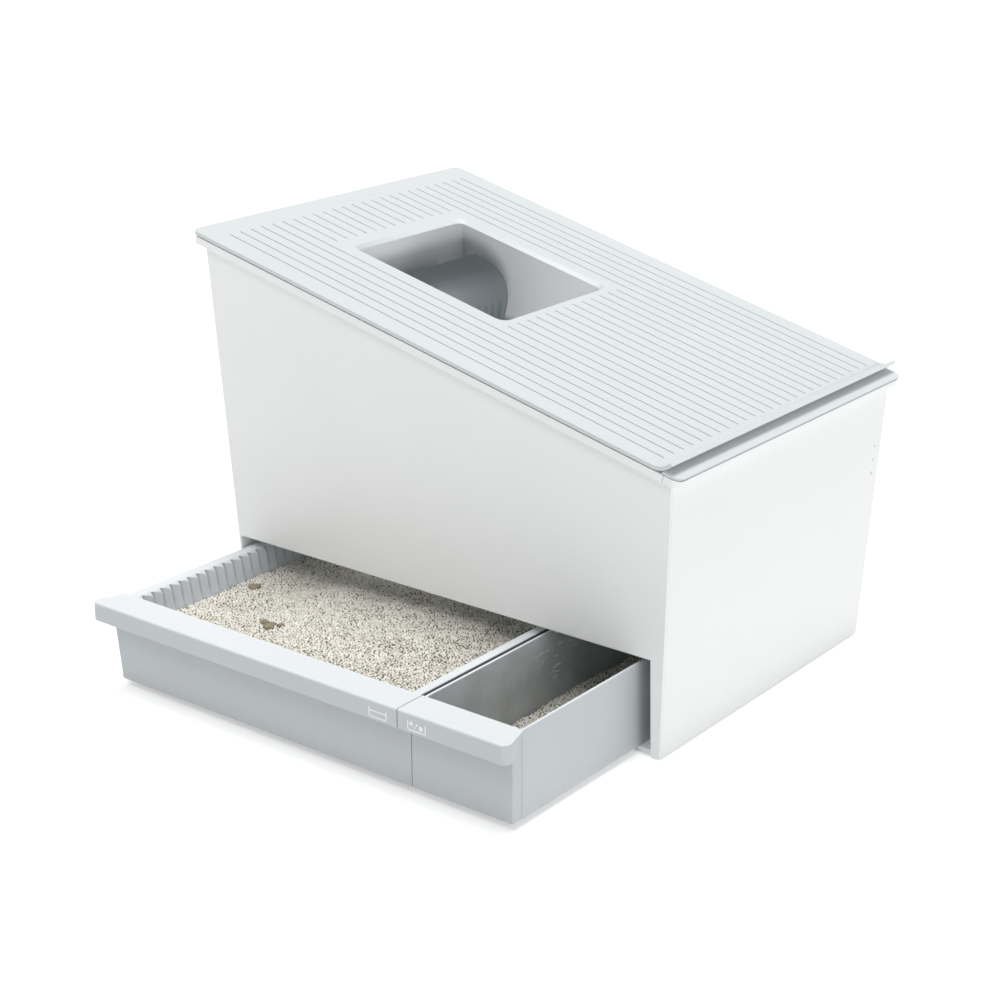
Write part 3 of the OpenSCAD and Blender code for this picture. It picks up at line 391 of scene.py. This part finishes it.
def sign(name, body, x, strokes, dots):
    """A tray outline with flat strokes and round dots, drawn as faces and given the ink's thickness."""
    upright = (math.radians(90), 0.0, 0.0)
    bpy.ops.object.select_all(action="DESELECT")
    bpy.ops.mesh.primitive_plane_add(size=1)
    obj = bpy.context.object
    obj.name = name
    bpy.ops.object.mode_set(mode="EDIT")
    bpy.ops.mesh.select_all(action="SELECT")
    bpy.ops.transform.rotate(value=math.radians(-90), orient_axis="X", center_override=(0.0, 0.0, 0.0))
    move_new(SIGN_SIZE_MM, x, 0)
    bpy.ops.mesh.bevel(offset=SIGN_CORNER, affect="VERTICES", segments=5)
    bpy.ops.mesh.select_all(action="SELECT")
    bpy.ops.mesh.inset(thickness=LINE_MM * MM)
    bpy.ops.mesh.delete(type="FACE")
    bpy.ops.mesh.select_all(action="SELECT")
    bpy.ops.mesh.bisect(plane_co=(x, LIP_Y, SIGN_Z + SIGN_TOP), plane_no=(0.0, 0.0, 1.0), clear_outer=True)
    for left, right, z in strokes:
        bpy.ops.mesh.select_all(action="DESELECT")
        bpy.ops.mesh.primitive_plane_add(size=1, rotation=upright)
        move_new((right - left, LINE_MM), x + (left + right) / 2 * MM, z)
    for across, z, radius in dots:
        bpy.ops.mesh.select_all(action="DESELECT")
        bpy.ops.mesh.primitive_circle_add(vertices=14, radius=1, fill_type="NGON", rotation=upright)
        move_new((radius, radius), x + across * MM, z)
    bpy.ops.mesh.select_all(action="SELECT")
    bpy.ops.mesh.normals_make_consistent(inside=False)
    bpy.ops.object.mode_set(mode="OBJECT")
    film = obj.modifiers.new("film", "SOLIDIFY")
    film.thickness = FILM
    film.offset = 0.0
    bpy.ops.object.modifier_apply(modifier="film")
    obj.data.materials.append(ink)
    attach(obj, body)


sign("tray_sign", "tray_drawer", 104 * MM, strokes=[(-9.0, 9.0, -0.4)], dots=[])
sign("waste_sign", "waste_drawer", 147.5 * MM, strokes=[],
     dots=[(-5.8, 0.2, 2.0), (0.3, 0.2, 1.25), (-2.0, -2.7, 1.0), (4.7, -1.9, 2.3)])

# Waste bin
# The plain bin beside the tray, moulded of the same polypropylene, rubbed dull and stained inside by what it
# holds.
bin_low, bin_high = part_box("waste_bin")
BIN_MID = (bin_low + bin_high) / 2
SMEAR = 38 * MM
SCRATCH = 3.5 * MM
RUBBED_PATCH = (0.130, -0.165, 0.066)
PATCH_EDGE, PATCH_CORE = 38 * MM, 14 * MM
bin_pp, tree, place, colour, rough, normal = grey_pp("grey_polypropylene_used")

# the stains are grey clouds on the faces that look to the bin's middle
from_mid = put(tree, "ShaderNodeVectorMath", {"operation": "SUBTRACT"}, {0: place, 1: BIN_MID})
facing = put(tree, "ShaderNodeVectorMath", {"operation": "DOT_PRODUCT"},
             {0: from_mid.outputs[0], 1: put(tree, "ShaderNodeTexCoord").outputs["Normal"]})
inside = put(tree, "ShaderNodeMath", {"operation": "LESS_THAN"}, {0: facing.outputs["Value"], 1: 0.0})
smear = put(tree, "ShaderNodeTexNoise", {},
            {"Vector": place, "Scale": 1 / SMEAR, "Detail": 5.0, "Roughness": 0.62})
stain = put(tree, "ShaderNodeMapRange", {},
            {"Value": smear.outputs[0], "From Min": 0.4, "From Max": 0.7, "To Min": 0.1, "To Max": 0.5})
stained = put(tree, "ShaderNodeMath", {"operation": "MULTIPLY"}, {0: stain.outputs[0], 1: inside.outputs[0]})
# the upward faces are painted paler: painted light from overhead
dirty = put(tree, "ShaderNodeMix", RGBA,
            {SHARE: stained.outputs[0], FIRST: painted_top_light(tree, colour), SECOND: linear("#8F918C")})

# pale scratches run along the bin in one patch of its inside
along = put(tree, "ShaderNodeMapping", {}, {"Vector": place, "Scale": (1.0, 0.25, 1.0)})
rub = put(tree, "ShaderNodeTexNoise", {}, {"Vector": along.outputs[0], "Scale": 1 / SCRATCH, "Detail": 2.0})
line = put(tree, "ShaderNodeMapRange", {},
           {"Value": rub.outputs[0], "From Min": 0.6, "From Max": 0.66, "To Max": 0.8})
away = put(tree, "ShaderNodeVectorMath", {"operation": "DISTANCE"}, {0: place, 1: RUBBED_PATCH})
near = put(tree, "ShaderNodeMapRange", {},
           {"Value": away.outputs["Value"], "From Min": PATCH_EDGE, "From Max": PATCH_CORE})
rubbed = put(tree, "ShaderNodeMath", {"operation": "MULTIPLY"}, {0: line.outputs[0], 1: near.outputs[0]})
worn = put(tree, "ShaderNodeMath", {"operation": "MULTIPLY"}, {0: rubbed.outputs[0], 1: inside.outputs[0]})
scratched = put(tree, "ShaderNodeMix", RGBA,
                {SHARE: worn.outputs[0], FIRST: dirty.outputs[MIXED], SECOND: linear("#EEF0F0")})
cover(tree, scratched.outputs[MIXED], rough, normal, {"IOR": 1.49})
dress(bin_pp, "waste_bin")
soften(0.4, "waste_bin")

# Litter
# Rolled bentonite clay in dry off-white grains of 2 to 4 mm, poured loose, with a few damp clumps and
# scented red grains. The bed is a heap of clay under a layer of single grains.
BARE_BED = 0.001
SCENTED_FROM = 0.9992
CLAY_DUST = 1.0 * MM

# dry clay is dull and pale, each grain its own tone; the heap under the grains is painted dark, as the shade
# between them
clay, tree, place = new_finish("bentonite_clay_grains")
shade = put(tree, "ShaderNodeAttribute", {"attribute_name": "shade"})
tone = put(tree, "ShaderNodeMix", RGBA,
           {SHARE: shade.outputs["Fac"], FIRST: linear("#FAF7EF"), SECOND: linear("#D6D2C7")})
# painted shade: the heap's bare faces, between the grains, are painted dark
gap_shade = put(tree, "ShaderNodeMath", {"operation": "LESS_THAN"}, {0: shade.outputs["Fac"], 1: BARE_BED})
grains_and_gap_shade = put(tree, "ShaderNodeMix", RGBA,
             {SHARE: gap_shade.outputs[0], FIRST: tone.outputs[MIXED], SECOND: linear("#746E62")})
scented = put(tree, "ShaderNodeMath", {"operation": "GREATER_THAN"},
              {0: shade.outputs["Fac"], 1: SCENTED_FROM})
mixed = put(tree, "ShaderNodeMix", RGBA,
            {SHARE: scented.outputs[0], FIRST: grains_and_gap_shade.outputs[MIXED], SECOND: linear("#C07C80")})
dusty = put(tree, "ShaderNodeTexNoise", {}, {"Vector": place, "Scale": 1 / CLAY_DUST, "Detail": 2.0})
gloss = put(tree, "ShaderNodeMapRange", {}, {"Value": dusty.outputs[0], "To Min": 0.8, "To Max": 0.95})
bump = put(tree, "ShaderNodeBump", {}, {"Height": dusty.outputs[0], "Distance": 0.15 * MM})
cover(tree, mixed.outputs[MIXED], gloss.outputs[0], bump.outputs[0], {"IOR": 1.5})

# one grain, a knobbly flattened ball, that is copied over the heaps
GRAIN_RADIUS = 1.45 * MM
bpy.ops.object.select_all(action="DESELECT")
bpy.ops.mesh.primitive_ico_sphere_add(subdivisions=1, radius=GRAIN_RADIUS)
grain = bpy.context.object
grain.name = "grain"
bpy.ops.object.mode_set(mode="EDIT")
bpy.ops.mesh.select_all(action="SELECT")
bpy.ops.transform.vertex_random(offset=0.35 * MM, uniform=0.6, normal=0.4, seed=3)
bpy.ops.transform.resize(value=(1.0, 0.9, 0.85))
bpy.ops.object.mode_set(mode="OBJECT")
bpy.ops.object.shade_smooth()


def own_copy(obj, name):
    """A copy with a mesh of its own, free of the parent and marks of the first, and the only one selected."""
    copy = obj.copy()
    copy.data = obj.data.copy()
    copy.parent = None
    copy.name = name
    for key in list(copy.keys()):
        del copy[key]
    bpy.context.scene.collection.objects.link(copy)
    bpy.ops.object.select_all(action="DESELECT")
    copy.select_set(True)
    bpy.context.view_layer.objects.active = copy
    return copy


HEAP_FACE = 3.2 * MM
LOOSE_DEPTH = 20 * MM
LUMP_WIDTH = 48 * MM


def heap(node, name, body, sink_mm, height, fall_mm, lump_mm):
    """A heap of clay in the place of a frame node: a merged copy at part of its height, cut into fine faces,
    its top let down a little, more towards the back, and left uneven."""
    low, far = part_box(node)
    obj = own_copy(nodes[node], name)
    bpy.ops.object.mode_set(mode="EDIT")
    bpy.ops.mesh.select_all(action="SELECT")
    bpy.ops.mesh.remove_doubles(threshold=TOUCHING)
    bpy.ops.transform.resize(value=(1.0, 1.0, height), center_override=low)
    bpy.ops.object.mode_set(mode="OBJECT")
    remesh = obj.modifiers.new("fine", "REMESH")
    remesh.mode = "VOXEL"
    remesh.voxel_size = HEAP_FACE
    bpy.ops.object.modifier_apply(modifier="fine")
    level = low.z + height * (far.z - low.z)
    soft = min(LOOSE_DEPTH, 0.8 * (level - low.z))
    top = obj.vertex_groups.new(name="top")
    slope = obj.vertex_groups.new(name="slope")
    for v in obj.data.vertices:
        share = min(1.0, 1.0 - (level - v.co.z) / soft)
        if share > 0.0:
            top.add([v.index], share, "REPLACE")
            slope.add([v.index], share * (v.co.y - low.y) / (far.y - low.y), "REPLACE")
    lumps = bpy.data.textures.new(name + "_lumps", "CLOUDS")
    lumps.noise_scale = LUMP_WIDTH
    uneven = obj.modifiers.new("uneven", "DISPLACE")
    uneven.texture = lumps
    uneven.direction = "Z"
    uneven.texture_coords = "LOCAL"
    uneven.vertex_group = "top"
    uneven.strength = lump_mm * MM
    uneven.mid_level = 0.5 + sink_mm / lump_mm
    bpy.ops.object.modifier_apply(modifier="uneven")
    lower = obj.modifiers.new("lower", "DISPLACE")
    lower.direction = "Z"
    lower.mid_level = 0.0
    lower.strength = -fall_mm * MM
    lower.vertex_group = "slope"
    bpy.ops.object.modifier_apply(modifier="lower")
    bpy.ops.object.shade_smooth()
    obj.data.materials.clear()
    obj.data.materials.append(clay)
    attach(obj, body)
    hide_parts(node)
    return obj


GRAIN_GAP = 1.85 * MM
GRAINS_PER_M2 = 600000.0
SMALL, LARGE = 0.75, 1.35
FULL_TURN = 6.28
UP_ENOUGH = 0.35
PALEST, DARKEST = 0.02, 1.0


def scatter(base, name, body, y0, y1, seed):
    """Single grains over the top of a heap, between two places along Y."""
    obj = own_copy(base, name)
    tree = bpy.data.node_groups.new(name + "_poured", "GeometryNodeTree")
    tree.interface.new_socket("Geometry", in_out="INPUT", socket_type="NodeSocketGeometry")
    tree.interface.new_socket("Geometry", in_out="OUTPUT", socket_type="NodeSocketGeometry")
    start = put(tree, "NodeGroupInput")
    facing = put(tree, "ShaderNodeSeparateXYZ", {},
                 {"Vector": put(tree, "GeometryNodeInputNormal").outputs[0]})
    spot = put(tree, "ShaderNodeSeparateXYZ", {},
               {"Vector": put(tree, "GeometryNodeInputPosition").outputs[0]})
    upward = put(tree, "ShaderNodeMath", {"operation": "GREATER_THAN"},
                 {0: facing.outputs["Z"], 1: UP_ENOUGH})
    after = put(tree, "ShaderNodeMath", {"operation": "GREATER_THAN"}, {0: spot.outputs["Y"], 1: y0})
    before = put(tree, "ShaderNodeMath", {"operation": "LESS_THAN"}, {0: spot.outputs["Y"], 1: y1})
    between = put(tree, "ShaderNodeMath", {"operation": "MULTIPLY"},
                  {0: after.outputs[0], 1: before.outputs[0]})
    chosen = put(tree, "ShaderNodeMath", {"operation": "MULTIPLY"},
                 {0: upward.outputs[0], 1: between.outputs[0]})
    points = put(tree, "GeometryNodeDistributePointsOnFaces", {"distribute_method": "POISSON"},
                 {"Mesh": start.outputs[0], "Selection": chosen.outputs[0], "Distance Min": GRAIN_GAP,
                  "Density Max": GRAINS_PER_M2, "Seed": seed})
    shape = put(tree, "GeometryNodeObjectInfo", {}, {"Object": grain, "As Instance": True})
    turn = put(tree, "FunctionNodeRandomValue", {"data_type": "FLOAT_VECTOR"},
               {0: (0.0, 0.0, 0.0), 1: (FULL_TURN, FULL_TURN, FULL_TURN), "Seed": seed + 1})
    size = put(tree, "FunctionNodeRandomValue", {"data_type": "FLOAT_VECTOR"},
               {0: (SMALL, SMALL, SMALL), 1: (LARGE, LARGE, LARGE), "Seed": seed + 2})
    laid = put(tree, "GeometryNodeInstanceOnPoints", {},
               {"Points": points.outputs["Points"], "Instance": shape.outputs["Geometry"],
                "Rotation": turn.outputs[0], "Scale": size.outputs[0]})
    tone = put(tree, "FunctionNodeRandomValue", {"data_type": "FLOAT"},
               {2: PALEST, 3: DARKEST, "Seed": seed + 3})
    marked = put(tree, "GeometryNodeStoreNamedAttribute", {"data_type": "FLOAT", "domain": "INSTANCE"},
                 {"Geometry": laid.outputs[0], "Name": "shade", "Value": tone.outputs[1]})
    real = put(tree, "GeometryNodeRealizeInstances", {}, {0: marked.outputs[0]})
    put(tree, "NodeGroupOutput", {}, {0: real.outputs[0]})
    poured = obj.modifiers.new("poured", "NODES")
    poured.node_group = tree
    bpy.ops.object.modifier_apply(modifier="poured")
    obj.data.materials.clear()
    obj.data.materials.append(clay)
    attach(obj, body)


bed = heap("litter_bed", "litter_heap", "tray_drawer", sink_mm=2.5, height=1.0, fall_mm=2.0, lump_mm=10.0)
bed_low, bed_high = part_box("litter_bed")
third = (bed_high.y - bed_low.y) / 3
for number, name in enumerate(("litter_grains_front", "litter_grains_middle", "litter_grains_back")):
    scatter(bed, name, "tray_drawer", bed_low.y + number * third, bed_low.y + (number + 1) * third,
            seed=11 + 12 * number)
waste = heap("waste_litter", "waste_heap", "waste_drawer", sink_mm=1.0, height=0.6, fall_mm=12.0,
             lump_mm=5.0)
waste_low, waste_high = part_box("waste_litter")
scatter(waste, "waste_grains", "waste_drawer", waste_low.y, waste_high.y, seed=53)
bpy.data.objects.remove(grain)

# Damp clumps
# Lumps of the same clay that have taken up water and set: round, brown, rough from the grains in them.
CLUMP_RADIUS = 6 * MM
CLUMP_RISE = 1 * MM
OVER_BED = 0.2
CLUMPS = (  # x and y in mm, size, turn in degrees
    (-203.9, -218.6, 1.0, 20),
    (-120.0, -284.3, 1.05, 75),
    (-130.5, -280.0, 0.8, 150),
    (-111.0, -279.0, 0.6, 230),
)

# damp clay is darker and browner than dry, dull, and mottled at the size of its grains
damp, tree, place = new_finish("bentonite_clay_damp")
cover(tree, *moulded(tree, place, "#B0A48B", "#665C4B", cloud_mm=2.5, grain_mm=1.6, depth_mm=1.0,
                     rough=(0.75, 0.9)), {"IOR": 1.5})
bpy.ops.object.select_all(action="DESELECT")
bpy.ops.mesh.primitive_ico_sphere_add(subdivisions=3, radius=CLUMP_RADIUS)
clump = bpy.context.object
bpy.ops.object.mode_set(mode="EDIT")
bpy.ops.mesh.select_all(action="SELECT")
bpy.ops.transform.vertex_random(offset=1.5 * MM, uniform=0.5, normal=0.7, seed=5)
bpy.ops.transform.resize(value=(1.0, 0.85, 0.6))
bpy.ops.mesh.vertices_smooth(factor=0.15)
bpy.ops.object.mode_set(mode="OBJECT")
bpy.ops.object.shade_smooth()
clump.data.materials.append(damp)
for number, (x, y, size, turn) in enumerate(CLUMPS):
    lump = own_copy(clump, "damp_clump_%d" % (number + 1))
    ground = bed.ray_cast((x * MM, y * MM, OVER_BED), (0.0, 0.0, -1.0))[1].z
    lump.rotation_euler.z = math.radians(turn)
    lump.scale = (size, size, size)
    lump.location = (x * MM, y * MM, ground + CLUMP_RISE)
    bpy.ops.object.transform_apply(location=True, rotation=True, scale=True)
    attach(lump, "tray_drawer")
bpy.data.objects.remove(clump)

# Floor, light and camera
# A white studio floor that keeps the soft shadow, large soft lights overhead, in front and at the right, and
# the camera at the height and distance that the picture was taken from.
WHITE = linear("#FFFFFF")


def seen_share(tree):
    """1 where the eye meets a surface, straight, in a gloss or through glass, and 0 where it only lights."""
    ray = put(tree, "ShaderNodeLightPath")
    direct = put(tree, "ShaderNodeMath", {"operation": "MAXIMUM"},
                 {0: ray.outputs["Is Camera Ray"], 1: ray.outputs["Is Glossy Ray"]})
    return put(tree, "ShaderNodeMath", {"operation": "MAXIMUM"},
               {0: direct.outputs[0], 1: ray.outputs["Is Transmission Ray"]}).outputs[0]


# the floor's paper is matt; a little glow that only the eye meets brings it to white round the shadow
bpy.ops.object.select_all(action="DESELECT")
bpy.ops.mesh.primitive_plane_add(size=40)
floor = bpy.context.object
floor.name = "studio_floor"
paper, tree, place = new_finish("white_studio_floor")
glow = put(tree, "ShaderNodeEmission", {}, {"Color": WHITE, "Strength": 0.45})
matt = put(tree, "ShaderNodeBsdfDiffuse", {}, {"Color": linear("#F0F0F0")})
both = put(tree, "ShaderNodeAddShader", {}, {0: matt.outputs[0], 1: glow.outputs[0]})
paper_face = put(tree, "ShaderNodeMixShader", {},
                 {0: seen_share(tree), 1: matt.outputs[0], 2: both.outputs[0]})
put(tree, "ShaderNodeOutputMaterial", {}, {"Surface": paper_face.outputs[0]})
floor.data.materials.append(paper)

# the room is white to the eye, and gives the object a dimmer, even light
world = bpy.data.worlds.new("studio")
world.use_nodes = True
tree = world.node_tree
tree.nodes.clear()
dim = put(tree, "ShaderNodeBackground", {}, {"Color": WHITE, "Strength": 0.42})
white = put(tree, "ShaderNodeBackground", {}, {"Color": WHITE, "Strength": 1.0})
sky = put(tree, "ShaderNodeMixShader", {}, {0: seen_share(tree), 1: dim.outputs[0], 2: white.outputs[0]})
put(tree, "ShaderNodeOutputWorld", {}, {"Surface": sky.outputs[0]})
bpy.context.scene.world = world

SUNS = (  # name, where it shines from, strength, softness in degrees
    ("overhead", (0.0, 0.06, 1.0), 1.68, 24),
    ("front", (0.1, -0.6, 1.0), 0.6, 24),
    ("right", (1.0, -0.25, 0.12), 0.76, 40),
)
for name, source, strength, spread in SUNS:
    bpy.ops.object.light_add(type="SUN", location=Vector(source) * 3)
    lamp = bpy.context.object
    lamp.name = name
    lamp.data.energy = strength
    lamp.data.angle = math.radians(spread)
    lamp.rotation_euler = Vector(source).to_track_quat("Z", "Y").to_euler()

# the thin white walls let some light through; a soft lamp under the lid stands for it
INSIDE, LIT_CORNER = Vector((0.04, -0.08, 0.27)), Vector((-0.20, 0.15, 0.30))
bpy.ops.object.light_add(type="SPOT", location=INSIDE)
lamp = bpy.context.object
lamp.name = "through_walls"
lamp.data.energy = 2.1
lamp.data.spot_size = math.radians(100)
lamp.data.spot_blend = 1.0
lamp.data.shadow_soft_size = 60 * MM
lamp.rotation_euler = (INSIDE - LIT_CORNER).to_track_quat("Z", "Y").to_euler()
lamp.visible_camera = False

# the camera looks at a point inside the box's front; its lens is given in widths of the sensor
AIM = Vector((0.011, -0.095, 0.170))
AZIMUTH, ELEVATION = math.radians(37.9), math.radians(19.9)
DISTANCE = 2.005
SENSOR_MM, LENS_WIDTHS = 36, 2.068
back = Vector((math.sin(AZIMUTH) * math.cos(ELEVATION), -math.cos(AZIMUTH) * math.cos(ELEVATION),
               math.sin(ELEVATION)))
bpy.ops.object.camera_add(location=AIM + DISTANCE * back)
camera = bpy.context.object
camera.rotation_euler = (-back).to_track_quat("-Z", "Y").to_euler()
camera.data.sensor_width = SENSOR_MM
camera.data.lens = SENSOR_MM * LENS_WIDTHS
bpy.context.scene.camera = camera
bpy.context.scene.view_settings.view_transform = "Standard"
